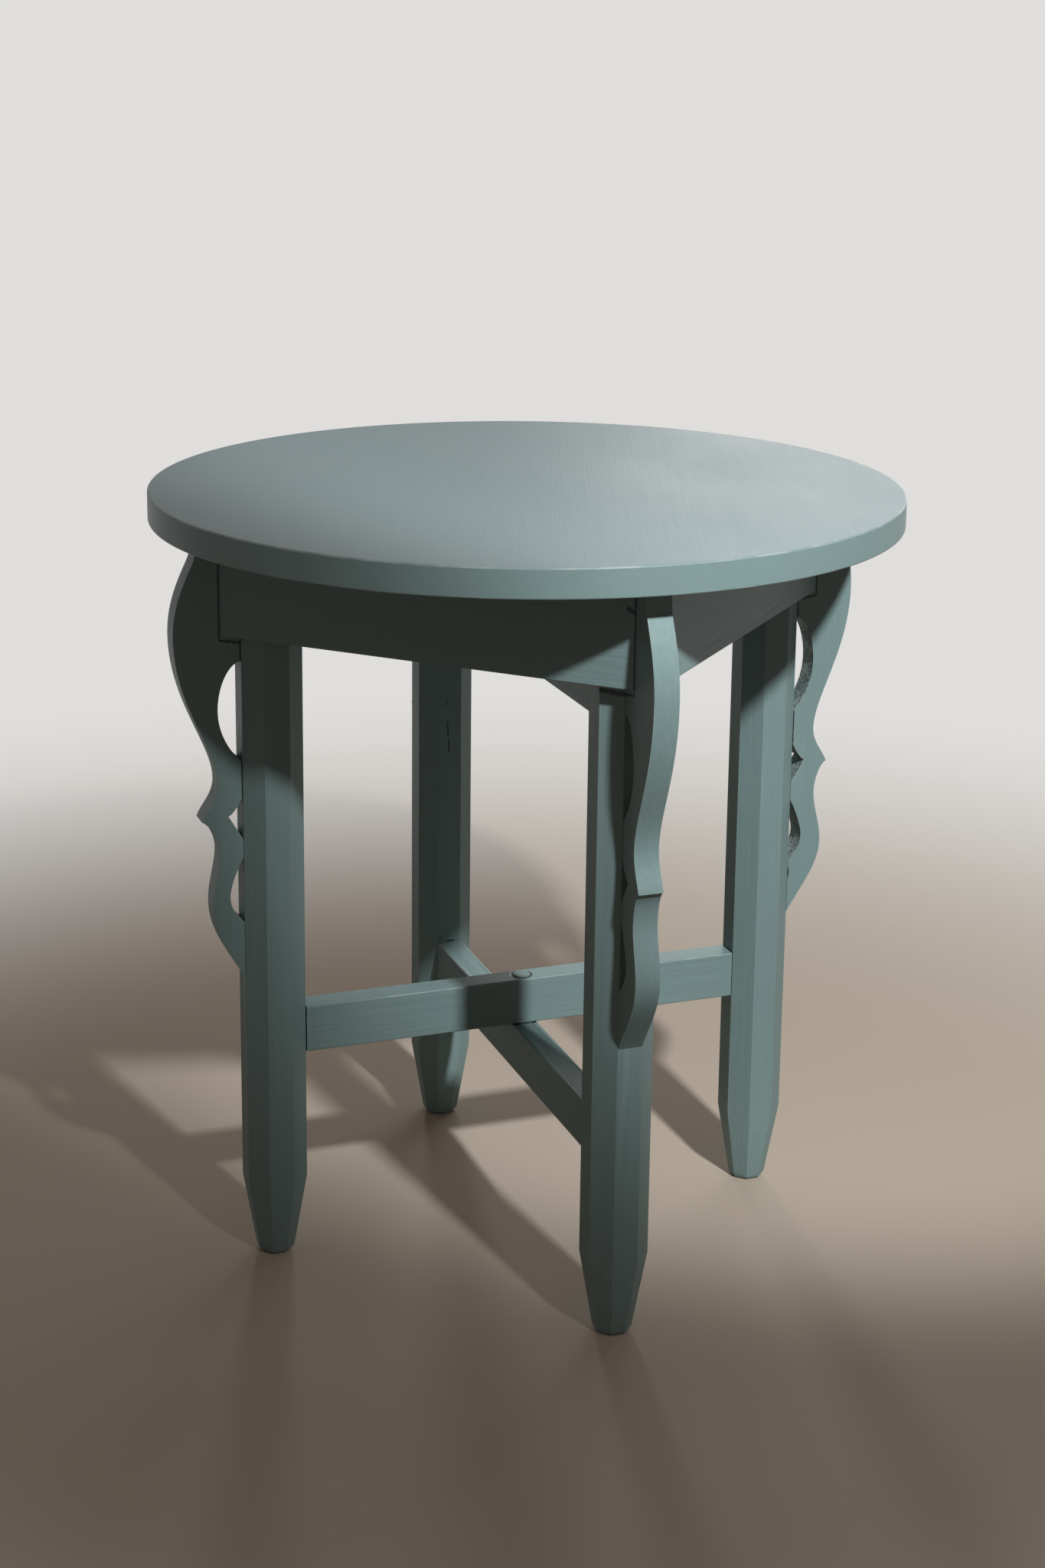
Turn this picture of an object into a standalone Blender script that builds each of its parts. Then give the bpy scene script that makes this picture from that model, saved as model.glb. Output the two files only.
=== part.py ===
"""Round side table: octagonal legs, scroll-sawn corner brackets, crossed rails.

Metres, +Z up.  The origin is on the floor under the middle of the top.
The legs stand on the X and Y axes, so one corner of the apron points along -Y.
"""
import math

import bmesh
import bpy
from mathutils import Matrix, Vector
from mathutils.geometry import interpolate_bezier

# Overall sizes
TABLE_HEIGHT = 0.630
TOP_DIAMETER = 0.600
TOP_THICKNESS = 0.023
TOP_OVERHANG = 0.062
TOP_ARRIS = 0.002

# Legs, octagonal, with the foot drawn in
LEG_ACROSS = 0.049
FOOT_ACROSS = 0.029
FOOT_TAPER = 0.066
FOOT_ROUNDING = 0.0045

# Apron boards, let into the heads of the legs, with a slit left under each board
APRON_THICKNESS = 0.022
APRON_PROUD = 0.0115
APRON_HEIGHT = 0.080
APRON_SLIT = 0.0025

# Scroll-sawn brackets
BRACKET_THICKNESS = 0.020
BRACKET_HEIGHT = 0.362
BRACKET_REACH = 0.053

# Crossed rails, one lying on the other, in a lower and an upper pair
RAIL_THICKNESS = 0.022
RAIL_HEIGHT = 0.039
LOWER_PAIR_HEIGHT = 0.135
UPPER_PAIR_BELOW_TOP = 0.040
TENON_SHOULDER = 0.006
TENON_LENGTH = 0.020
PEG_DIAMETER = 0.014
PEG_FLOOR = 0.009

# Hidden fixings
DOWEL_DIAMETER = 0.008
APRON_DOWEL_IN_LEG = 0.010
APRON_DOWEL_IN_BOARD = 0.014
BRACKET_DOWEL_IN_LEG = 0.014
BRACKET_DOWEL_IN_BRACKET = 0.010
BLOCK_WIDTH = 0.022
BLOCK_HEIGHT = 0.020
BLOCK_LENGTH = 0.090
SCREW_SHANK = 0.004
SCREW_HEAD = 0.008
SCREW_IN_TOP = 0.014

# Gap between touching pieces, how far a cutter runs past what it cuts, and the merging distance
FIT = 0.0003
OVERRUN = 0.010
MERGE = 0.00001

# Facet counts
TOP_SIDES = 120
ARRIS_STEPS = 3
LEG_SIDES = 8
ROUND_SIDES = 16
CURVE_STEPS = 8

# Outline of a bracket, as shares of its reach (outward) and of its height (upward from the tip).
# A knot is its place, the handle that arrives at it and the handle that leaves it.
# The scrolls were sawn by eye, so each bracket has its own reach at the lobe, the waist, the nose,
# the lower waist and the lower lobe of its outer edge, and its own depth of the upper eye.
SCROLL_REACHES = {
    "front": (0.996, 0.419, 0.612, 0.440, 0.574, 0.330),
    "right": (0.930, 0.365, 0.610, 0.414, 0.552, 0.308),
    "back": (0.975, 0.385, 0.614, 0.400, 0.530, 0.330),
    "left": (1.000, 0.367, 0.620, 0.353, 0.467, 0.352),
}
LOWER_EYE_SHARES = [
    ((0.000, 0.129), (0.000, 0.129), (0.128, 0.147)),
    ((0.205, 0.189), (0.205, 0.166), (0.205, 0.213)),
    ((0.000, 0.277), (0.080, 0.256), (0.000, 0.277)),
]
NOTCH_SHARES = [
    ((0.000, 0.321), (0.000, 0.321), (0.098, 0.344)),
    ((0.216, 0.374), (0.147, 0.359), (0.128, 0.381)),
    ((0.000, 0.417), (0.055, 0.399), (0.000, 0.417)),
]
# Where the dowels sit, as shares of the height of a bracket and of an apron board
BRACKET_DOWEL_SHARES = [0.078, 0.457, 0.880]
APRON_DOWEL_SHARES = [0.25, 0.75]

# Places worked out from the sizes above
DIAGONAL = math.sqrt(2)
HALF_CORNER = math.radians(180 / LEG_SIDES)
UNDERSIDE = TABLE_HEIGHT - TOP_THICKNESS
FRAME_TOP = UNDERSIDE - FIT
APRON_BOTTOM = UNDERSIDE - APRON_HEIGHT
LEG_OUTER = TOP_DIAMETER / 2 - TOP_OVERHANG
LEG_INNER = LEG_OUTER - LEG_ACROSS
LEG_FROM_MIDDLE = (LEG_OUTER + LEG_INNER) / 2
APRON_FACE = LEG_FROM_MIDDLE / DIAGONAL + LEG_ACROSS / 2 + APRON_PROUD
APRON_INNER = APRON_FACE - APRON_THICKNESS
REBATE_FLOOR = APRON_INNER - FIT
BRACKET_TIP = FRAME_TOP - BRACKET_HEIGHT
HALF_BRACKET = BRACKET_THICKNESS / 2
RAIL_STEP = RAIL_HEIGHT + FIT
UPPER_PAIR_HEIGHT = UNDERSIDE - UPPER_PAIR_BELOW_TOP - RAIL_STEP - RAIL_HEIGHT

# Which way each leg and each side of the apron faces, in degrees from +X
LEG_TURNS = {"front": -90, "right": 0, "back": 90, "left": 180}
SIDE_TURNS = {"front_left": -135, "front_right": -45, "back_right": 45, "back_left": 135}


def clear_scene():
    for scene_object in list(bpy.data.objects):
        bpy.data.objects.remove(scene_object, do_unlink=True)


def make_material(name, colour, roughness, metallic=0.0):
    material = bpy.data.materials.new(name)
    material.use_nodes = True
    shader = material.node_tree.nodes["Principled BSDF"]
    shader.inputs["Base Color"].default_value = (*colour, 1)
    shader.inputs["Roughness"].default_value = roughness
    shader.inputs["Metallic"].default_value = metallic
    return material


def mesh_from(name, shape, material=None):
    """Turns a finished bmesh into a mesh whose faces point outwards."""
    bmesh.ops.recalc_face_normals(shape, faces=shape.faces)
    mesh = bpy.data.meshes.new(name)
    shape.to_mesh(mesh)
    shape.free()
    if material:
        mesh.materials.append(material)
    return mesh


def place(name, mesh, turn=0, height=0):
    """Puts a piece in the scene, turned about the table's middle."""
    piece = bpy.data.objects.new(name, mesh)
    bpy.context.scene.collection.objects.link(piece)
    piece.rotation_euler.z = math.radians(turn)
    piece.location.z = height
    return piece


def carve(mesh, cutters):
    """Cuts each shape in turn out of a mesh, and gives the mesh that is left."""
    blank = place(mesh.name, mesh)
    tools = []
    for number, cutter in enumerate(cutters):
        tool = place(f"{mesh.name}_cutter_{number}", mesh_from("cutter", cutter))
        tool.hide_render = True
        tool.display_type = "WIRE"
        tools.append(tool)
        cut = blank.modifiers.new(tool.name, "BOOLEAN")
        cut.operation = "DIFFERENCE"
        cut.solver = "EXACT"
        cut.object = tool
    depsgraph = bpy.context.evaluated_depsgraph_get()
    carved = bpy.data.meshes.new_from_object(blank.evaluated_get(depsgraph))
    for spent in [blank, *tools]:
        bpy.data.objects.remove(spent, do_unlink=True)
    return carved


def prism(outline, sweep):
    """A flat outline swept along a vector."""
    shape = bmesh.new()
    face = shape.faces.new([shape.verts.new(point) for point in outline])
    swept = bmesh.ops.extrude_face_region(shape, geom=[face])["geom"]
    moved = [item for item in swept if isinstance(item, bmesh.types.BMVert)]
    bmesh.ops.translate(shape, verts=moved, vec=sweep)
    return shape


def box(low, high):
    """A box between its lowest and its highest corner."""
    middle = (Vector(low) + Vector(high)) / 2
    size = Vector(high) - Vector(low)
    shape = bmesh.new()
    bmesh.ops.create_cube(shape, size=1, matrix=Matrix.Translation(middle) @ Matrix.Diagonal((*size, 1)))
    return shape


def rod(start, end, radius):
    """A round rod from one point to another."""
    run = Vector(end) - Vector(start)
    middle = (Vector(start) + Vector(end)) / 2
    aim = run.to_track_quat("Z", "Y").to_matrix().to_4x4()
    shape = bmesh.new()
    bmesh.ops.create_cone(
        shape, cap_ends=True, segments=ROUND_SIDES, radius1=radius, radius2=radius,
        depth=run.length, matrix=Matrix.Translation(middle) @ aim)
    return shape


def lathe(profile, sides, middle=(0, 0)):
    """A solid turned from (radius, height) points that start and end on the upright axis."""
    shape = bmesh.new()
    verts = [shape.verts.new((middle[0] + radius, middle[1], height)) for radius, height in profile]
    edges = [shape.edges.new(pair) for pair in zip(verts, verts[1:])]
    bmesh.ops.spin(
        shape, geom=verts + edges, cent=(*middle, 0), axis=(0, 0, 1),
        angle=math.radians(360), steps=sides, use_merge=True)
    bmesh.ops.remove_doubles(shape, verts=shape.verts, dist=MERGE)
    return shape


def together(shapes):
    """Separate shapes held in one bmesh."""
    whole = bmesh.new()
    for shape in shapes:
        loose = mesh_from("loose", shape)
        whole.from_mesh(loose)
        bpy.data.meshes.remove(loose)
    return whole


def turned(shape, degrees):
    """A shape turned about the table's middle."""
    turn = Matrix.Rotation(math.radians(degrees), 3, "Z")
    bmesh.ops.rotate(shape, verts=shape.verts, cent=(0, 0, 0), matrix=turn)
    return shape


def outer_edge(lobe, waist, nose, lower_waist, lower_lobe):
    """Knots of a bracket's outer edge, from the top to the tip, for the reaches given."""
    return [
        ((0.652, 1.000), (0.652, 1.000), (0.652, 0.985)),
        ((0.667, 0.950), (0.652, 0.965), (0.723, 0.925)),
        ((lobe, 0.781), (lobe, 0.864), (lobe, 0.630)),
        ((waist, 0.451), (waist, 0.528), (waist, 0.414)),
        ((nose, 0.367), (nose - 0.069, 0.394), (nose - 0.103, 0.360)),
        ((lower_waist, 0.293), (lower_waist, 0.325), (lower_waist, 0.255)),
        ((lower_lobe, 0.171), (lower_lobe, 0.215), (lower_lobe, 0.114)),
        ((0.000, 0.000), (0.313, 0.075), (0.000, 0.000)),
    ]


def upper_eye(depth):
    """Knots of a bracket's upper eye, which is sawn as deep as given."""
    return [
        ((0.000, 0.496), (0.000, 0.496), (0.580 * depth, 0.524)),
        ((depth, 0.613), (depth, 0.567), (depth, 0.668)),
        ((0.000, 0.720), (0.500 * depth, 0.719), (0.000, 0.720)),
    ]


def bezier_points(knots):
    """Points along the curve through knots of (place, arriving handle, leaving handle)."""
    points = [Vector(knots[0][0])]
    for (start, _, leaving), (end, arriving, _) in zip(knots, knots[1:]):
        controls = [Vector(place) for place in (start, leaving, arriving, end)]
        points.extend(interpolate_bezier(*controls, CURVE_STEPS + 1)[1:])
    return points


def block_screw(slack=0, run_out=0):
    """A countersunk screw up through a glue block into the top, in the frame of a side on +X."""
    low = UNDERSIDE - FIT - BLOCK_HEIGHT
    neck = low + (SCREW_HEAD - SCREW_SHANK) / 2 + slack
    high = UNDERSIDE + SCREW_IN_TOP + slack
    profile = [
        (0, low - run_out),
        (SCREW_HEAD / 2 + slack, low - run_out),
        (SCREW_HEAD / 2 + slack, low + slack),
        (SCREW_SHANK / 2 + slack, neck),
        (SCREW_SHANK / 2 + slack, high - SCREW_SHANK),
        (0, high),
    ]
    if not run_out:
        del profile[2]
    return lathe(profile, ROUND_SIDES, (APRON_INNER - FIT - BLOCK_WIDTH / 2, 0))


def bracket_dowel(share, slack=0):
    """A dowel between a leg on +X and its bracket."""
    height = BRACKET_TIP + share * BRACKET_HEIGHT
    inner = LEG_OUTER - BRACKET_DOWEL_IN_LEG - slack
    outer = LEG_OUTER + FIT + BRACKET_DOWEL_IN_BRACKET + slack
    return rod((inner, 0, height), (outer, 0, height), DOWEL_DIAMETER / 2 + slack)


def apron_dowel(side, share, slack=0):
    """A dowel between an apron board on +X and the leg at one of its ends."""
    leg_side = REBATE_FLOOR - LEG_ACROSS / 2 * (1 + math.tan(HALF_CORNER))
    tongue_side = REBATE_FLOOR - HALF_BRACKET * DIAGONAL
    along = side * (leg_side + tongue_side) / 2
    height = APRON_BOTTOM + share * APRON_HEIGHT
    inner = REBATE_FLOOR - APRON_DOWEL_IN_LEG - slack
    outer = APRON_INNER + APRON_DOWEL_IN_BOARD + slack
    return rod((inner, along, height), (outer, along, height), DOWEL_DIAMETER / 2 + slack)


def tabletop(material):
    """The round top, its arrises eased, with blind holes for the screws."""
    shoulder = TOP_DIAMETER / 2 - TOP_ARRIS
    profile = [(0, UNDERSIDE)]
    for middle, first in ((UNDERSIDE + TOP_ARRIS, -90), (TABLE_HEIGHT - TOP_ARRIS, 0)):
        for step in range(ARRIS_STEPS + 1):
            angle = math.radians(first + 90 * step / ARRIS_STEPS)
            profile.append((shoulder + TOP_ARRIS * math.cos(angle), middle + TOP_ARRIS * math.sin(angle)))
    profile.append((0, TABLE_HEIGHT))
    board = mesh_from("tabletop", lathe(profile, TOP_SIDES), material)
    holes = together([turned(block_screw(FIT, OVERRUN), turn) for turn in SIDE_TURNS.values()])
    mesh = carve(board, [holes])
    mesh.shade_smooth()
    mesh.set_sharp_from_angle(angle=HALF_CORNER)
    place("tabletop", mesh)


def apron_board(material):
    """A board mitred to lie against the brackets' cheeks, on +X."""
    mitre = (HALF_BRACKET + FIT) * DIAGONAL
    outline = [
        (APRON_FACE, mitre - APRON_FACE, APRON_BOTTOM),
        (APRON_FACE, APRON_FACE - mitre, APRON_BOTTOM),
        (APRON_INNER, APRON_INNER - mitre, APRON_BOTTOM),
        (APRON_INNER, mitre - APRON_INNER, APRON_BOTTOM),
    ]
    board = mesh_from("apron_board", prism(outline, (0, 0, FRAME_TOP - APRON_BOTTOM)), material)
    holes = [apron_dowel(side, share, FIT) for side in (1, -1) for share in APRON_DOWEL_SHARES]
    return carve(board, [together(holes)])


def leg_post():
    """A plain octagonal post on +X, its foot drawn in on all eight faces and rounded under."""
    shape = bmesh.new()
    corner = 1 / math.cos(HALF_CORNER)
    levels = []
    for step in range(ARRIS_STEPS + 1):
        angle = math.radians(90 * step / ARRIS_STEPS)
        height = FOOT_ROUNDING * (1 - math.cos(angle))
        levels.append((height, FOOT_ACROSS - 2 * FOOT_ROUNDING * (1 - math.sin(angle))))
    levels += [(FOOT_TAPER, LEG_ACROSS), (FRAME_TOP, LEG_ACROSS)]
    rings = []
    for height, across in levels:
        stand = Matrix.Translation((LEG_FROM_MIDDLE, 0, height)) @ Matrix.Rotation(HALF_CORNER, 4, "Z")
        first = len(shape.edges)
        bmesh.ops.create_circle(shape, segments=LEG_SIDES, radius=across / 2 * corner, matrix=stand)
        shape.edges.ensure_lookup_table()
        rings.append(shape.edges[first:])
    for low, high in zip(rings, rings[1:]):
        bmesh.ops.bridge_loops(shape, edges=low + high)
    bmesh.ops.holes_fill(shape, edges=rings[0] + rings[-1], sides=LEG_SIDES)
    return shape


def rebates():
    """What the two apron boards take out of a leg's head, either side of a tongue."""
    seat = REBATE_FLOOR * DIAGONAL - HALF_BRACKET
    floor = APRON_BOTTOM - APRON_SLIT
    shapes = []
    for side in (1, -1):
        outline = [
            (seat, side * HALF_BRACKET, floor),
            (seat + LEG_ACROSS, side * HALF_BRACKET, floor),
            (seat + LEG_ACROSS, side * (HALF_BRACKET + LEG_ACROSS), floor),
            (seat - LEG_ACROSS, side * (HALF_BRACKET + LEG_ACROSS), floor),
        ]
        shapes.append(prism(outline, (0, 0, FRAME_TOP - floor + OVERRUN)))
    return together(shapes)


def mortises(first_rail):
    """Pockets for the tenons of a leg's lower and upper rail."""
    half_width = RAIL_THICKNESS / 2 - TENON_SHOULDER + FIT
    shapes = []
    for bottom in (LOWER_PAIR_HEIGHT + first_rail, UPPER_PAIR_HEIGHT + first_rail):
        low = (LEG_INNER - OVERRUN, -half_width, bottom + TENON_SHOULDER - FIT)
        high = (LEG_INNER + TENON_LENGTH, half_width, bottom + RAIL_HEIGHT - TENON_SHOULDER + FIT)
        shapes.append(box(low, high))
    return together(shapes)


def leg(material, first_rail):
    """A leg on +X with its rebates, mortises and dowel holes."""
    holes = [bracket_dowel(share, FIT) for share in BRACKET_DOWEL_SHARES]
    for side in (1, -1):
        holes += [turned(apron_dowel(side, share, FIT), -45 * side) for share in APRON_DOWEL_SHARES]
    post = mesh_from("leg", leg_post(), material)
    return carve(post, [rebates(), mortises(first_rail), together(holes)])


def bracket(material, reaches):
    """A scroll-sawn bracket on +X, its straight back against the leg."""
    *outer_reaches, eye_depth = reaches
    shares = []
    for knots in (outer_edge(*outer_reaches), LOWER_EYE_SHARES, NOTCH_SHARES, upper_eye(eye_depth)):
        shares += bezier_points(knots)
    shares.append(Vector((0, 1)))
    heel = LEG_OUTER + FIT
    outline = [
        (heel + share.x * BRACKET_REACH, -HALF_BRACKET, BRACKET_TIP + share.y * BRACKET_HEIGHT)
        for share in shares
    ]
    board = mesh_from("bracket", prism(outline, (0, BRACKET_THICKNESS, 0)), material)
    mesh = carve(board, [together([bracket_dowel(share, FIT) for share in BRACKET_DOWEL_SHARES])])
    mesh.shade_smooth()
    mesh.set_sharp_from_angle(angle=HALF_CORNER)
    return mesh


def rail(material, through):
    """A rail along X with a tenon at each end, bored for the peg at its middle."""
    half_length = LEG_INNER - FIT
    half_width = RAIL_THICKNESS / 2
    shape = box((-half_length, -half_width, 0), (half_length, half_width, RAIL_HEIGHT))
    ends = [face for face in shape.faces if abs(face.normal.x) > abs(face.normal.y) + abs(face.normal.z)]
    for end in ends:
        outwards = end.normal.copy()
        bmesh.ops.inset_individual(shape, faces=[end], thickness=TENON_SHOULDER, use_even_offset=True)
        tip = bmesh.ops.extrude_discrete_faces(shape, faces=[end])["faces"][0]
        bmesh.ops.translate(shape, verts=tip.verts, vec=outwards * TENON_LENGTH)
    bore_end = -OVERRUN if through else PEG_FLOOR
    bore = rod((0, 0, bore_end), (0, 0, RAIL_HEIGHT + OVERRUN), PEG_DIAMETER / 2 + FIT)
    return carve(mesh_from("rail", shape, material), [bore])


def peg(material):
    """The peg that pins a pair of rails, its end flush with the rail on top."""
    shape = rod((0, 0, PEG_FLOOR + FIT), (0, 0, RAIL_STEP + RAIL_HEIGHT), PEG_DIAMETER / 2)
    return mesh_from("peg", shape, material)


def glue_block(material):
    """A block glued in the angle of an apron board and the top, on +X, bored for its screw."""
    outer = APRON_INNER - FIT
    shape = box(
        (outer - BLOCK_WIDTH, -BLOCK_LENGTH / 2, FRAME_TOP - BLOCK_HEIGHT),
        (outer, BLOCK_LENGTH / 2, FRAME_TOP))
    return carve(mesh_from("glue_block", shape, material), [block_screw(FIT, OVERRUN)])


def build():
    clear_scene()
    paint = make_material("grey_green_paint", (0.200, 0.250, 0.240), 0.5)
    bare_wood = make_material("bare_wood", (0.420, 0.290, 0.170), 0.7)
    steel = make_material("steel", (0.550, 0.540, 0.520), 0.35, 1.0)

    tabletop(paint)

    board = apron_board(paint)
    block = glue_block(bare_wood)
    for side, turn in SIDE_TURNS.items():
        place(f"apron_{side}", board, turn)
        place(f"glue_block_{side}", block, turn)

    legs = {"front": leg(paint, 0), "right": leg(paint, RAIL_STEP)}
    for corner, turn in LEG_TURNS.items():
        place(f"leg_{corner}", legs["front" if corner in ("front", "back") else "right"], turn)
        place(f"bracket_{corner}", bracket(paint, SCROLL_REACHES[corner]), turn)

    bottom_rail = rail(paint, through=False)
    top_rail = rail(paint, through=True)
    pin = peg(paint)
    for pair, height in (("lower", LOWER_PAIR_HEIGHT), ("upper", UPPER_PAIR_HEIGHT)):
        place(f"{pair}_rail_front_back", bottom_rail, LEG_TURNS["front"], height)
        place(f"{pair}_rail_left_right", top_rail, LEG_TURNS["right"], height + RAIL_STEP)
        place(f"{pair}_rail_peg", pin, 0, height)

    for number, share in enumerate(BRACKET_DOWEL_SHARES, 1):
        dowel = mesh_from("bracket_dowel", bracket_dowel(share), bare_wood)
        for corner, turn in LEG_TURNS.items():
            place(f"bracket_dowel_{corner}_{number}", dowel, turn)
    ends = [(end, share) for end in (1, -1) for share in APRON_DOWEL_SHARES]
    for number, (end, share) in enumerate(ends, 1):
        dowel = mesh_from("apron_dowel", apron_dowel(end, share), bare_wood)
        for side, turn in SIDE_TURNS.items():
            place(f"apron_dowel_{side}_{number}", dowel, turn)
    screw = mesh_from("block_screw", block_screw(), steel)
    for side, turn in SIDE_TURNS.items():
        place(f"block_screw_{side}", screw, turn)


build()
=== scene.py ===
"""Looks of the round side table: satin paint on wood, eased arrises, raw sawn edges.

Metres, +Z up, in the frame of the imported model: the legs stand on the X and Y axes.
"""

import math

import bmesh
import bpy
from mathutils import Matrix, Vector
from mathutils.geometry import interpolate_bezier


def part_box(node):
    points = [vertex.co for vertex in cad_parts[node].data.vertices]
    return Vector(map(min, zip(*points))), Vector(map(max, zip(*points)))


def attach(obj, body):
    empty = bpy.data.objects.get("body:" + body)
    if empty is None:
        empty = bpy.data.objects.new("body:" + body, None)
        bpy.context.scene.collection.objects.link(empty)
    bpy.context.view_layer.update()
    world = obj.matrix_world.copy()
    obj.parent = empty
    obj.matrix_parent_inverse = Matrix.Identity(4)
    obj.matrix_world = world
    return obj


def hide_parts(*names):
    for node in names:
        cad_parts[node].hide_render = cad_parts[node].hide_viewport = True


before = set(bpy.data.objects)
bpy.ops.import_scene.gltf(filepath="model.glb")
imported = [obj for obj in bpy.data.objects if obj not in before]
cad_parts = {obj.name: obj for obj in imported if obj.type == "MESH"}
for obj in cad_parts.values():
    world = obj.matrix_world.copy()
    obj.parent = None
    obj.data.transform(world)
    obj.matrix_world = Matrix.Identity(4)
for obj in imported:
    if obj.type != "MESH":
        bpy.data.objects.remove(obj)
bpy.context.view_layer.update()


# Camera
# It stands a little to the left of the front leg and looks down on the top, as the photograph does.
# Its lens and place were worked out from the round top, the legs and the rails, and its small
# downward shift from how little the legs lean in.
CAMERA_PLACE = (-0.7107, -1.9260, 1.0300)
CAMERA_AZIMUTH = 20.19
CAMERA_DIP = 14.04
CAMERA_ROLL = 0.67
CAMERA_LENS = 60.187
CAMERA_SHIFT = -0.1032


def new_object(name, data):
    """A new object in the scene, at the origin and unturned."""
    made = bpy.data.objects.new(name, data)
    bpy.context.scene.collection.objects.link(made)
    return made


camera = new_object("camera", bpy.data.cameras.new("camera"))
camera.data.lens = CAMERA_LENS
camera.data.shift_y = CAMERA_SHIFT
camera.matrix_world = (
    Matrix.Translation(CAMERA_PLACE)
    @ Matrix.Rotation(math.radians(-CAMERA_AZIMUTH), 4, "Z")
    @ Matrix.Rotation(math.radians(90 - CAMERA_DIP), 4, "X")
    @ Matrix.Rotation(math.radians(CAMERA_ROLL), 4, "Z"))
bpy.context.scene.camera = camera


# Round top
# A round board with its rim sanded smooth and both arrises eased, lying on the apron boards.
# It is painted all over in satin grey-green, thinner and paler where the arrises were rubbed,
# and its face has a painted sheen that makes it a little greyer than its rim.
TOP_ARRIS = 0.0016
TOP_SIDES = 288
ARRIS_STEPS = 4
MERGED_WITHIN = 0.00001
PLACE_DIGITS = 6
SMOOTH_ANGLE = 32
FLATS_WEIGHT = 100
PAINT_COLOUR = (0.158, 0.238, 0.238)
RUBBED_COLOUR = (0.330, 0.395, 0.380)
PAINTED_SHEEN_TINT = (1.02, 0.955, 1.0)
SHADE_RANGE = (0.96, 1.04)
PAINT_SHEEN = 0.17
PAINT_ROUGHNESS = (0.39, 0.49)
CLOUDY_ROUGHNESS = (-0.03, 0.03)
PAINT_RELIEF = 0.0005
PAINT_BUMP = 0.6
NOISE_MIDDLE = 0.5
CLOUDS_PER_METRE = 7
CLOUD_RANGE = (0.3, 0.7)
STREAK_WIDTH = 0.0024
STREAK_LENGTH = 0.110
STREAK_RANGE = (-0.2, 0.2)
STIPPLE_PER_METRE = 650
STIPPLE_RELIEF = 0.16
NIBS_PER_METRE = 70
NIBS_CHOSEN = (0.76, 0.78)
NIB_SIZE = 0.05
NIB_RELIEF = 0.30
WEAR_PER_METRE = 55
WEAR_RANGE = (0.42, 0.62)
WEAR_SHARE = (0.10, 0.55)
ROLLER_TURN = 70
ROLLER_BRUSHING = 0.35


def add(tree, kind, sockets=(), **properties):
    """Adds a node with its properties, and sets or links its input sockets."""
    made = tree.nodes.new(kind)
    for name, value in properties.items():
        setattr(made, name, value)
    for name, value in dict(sockets).items():
        if isinstance(value, bpy.types.NodeSocket):
            tree.links.new(value, made.inputs[name])
        else:
            made.inputs[name].default_value = value
    return made


def sum_of(tree, operation, *values):
    """The result of a sum on one value or two."""
    return add(tree, "ShaderNodeMath", dict(enumerate(values)), operation=operation).outputs[0]


def vector_sum(tree, operation, *vectors):
    """The outputs of a sum on vectors: the first is a vector, the second a single value."""
    return add(tree, "ShaderNodeVectorMath", dict(enumerate(vectors)), operation=operation).outputs


def spread(tree, value, low, high, to_low, to_high):
    """A value stretched from one range to another, and held inside it."""
    sockets = {"Value": value, "From Min": low, "From Max": high, "To Min": to_low, "To Max": to_high}
    return add(tree, "ShaderNodeMapRange", sockets).outputs["Result"]


def clouds(tree, place, scale, detail=2.0, roughness=0.5):
    """A cloudy noise from 0 to 1."""
    sockets = {"Vector": place, "Scale": scale, "Detail": detail, "Roughness": roughness}
    return add(tree, "ShaderNodeTexNoise", sockets).outputs["Fac"]


def mixed(tree, factor, first, second):
    """Two colours mixed by a factor."""
    sockets = {0: factor, 6: first, 7: second}
    return add(tree, "ShaderNodeMix", sockets, data_type="RGBA").outputs[2]


def scaled(tree, colour, amount):
    """A colour made lighter or darker."""
    sockets = {0: colour, "Scale": amount}
    return add(tree, "ShaderNodeVectorMath", sockets, operation="SCALE").outputs[0]


def turned_back(tree, place, turn, lengths=(1, 1, 1)):
    """A place with the piece's turn about Z taken off, counted in lengths along each axis."""
    sockets = {"Vector": place, "Rotation": (0, 0, math.radians(turn)), "Scale": lengths}
    return add(tree, "ShaderNodeMapping", sockets, vector_type="TEXTURE").outputs[0]


def new_group(name, inputs, outputs):
    """An empty node group: its tree, its input sockets, and a call that fills an output."""
    group = bpy.data.node_groups.new(name, "ShaderNodeTree")
    for in_out, sockets in (("INPUT", inputs), ("OUTPUT", outputs)):
        for socket, kind in sockets.items():
            group.interface.new_socket(socket, in_out=in_out, socket_type=f"NodeSocket{kind}")
    given = add(group, "NodeGroupInput").outputs
    result = add(group, "NodeGroupOutput").inputs
    return group, given, lambda socket, value: group.links.new(value, result[socket])


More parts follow.
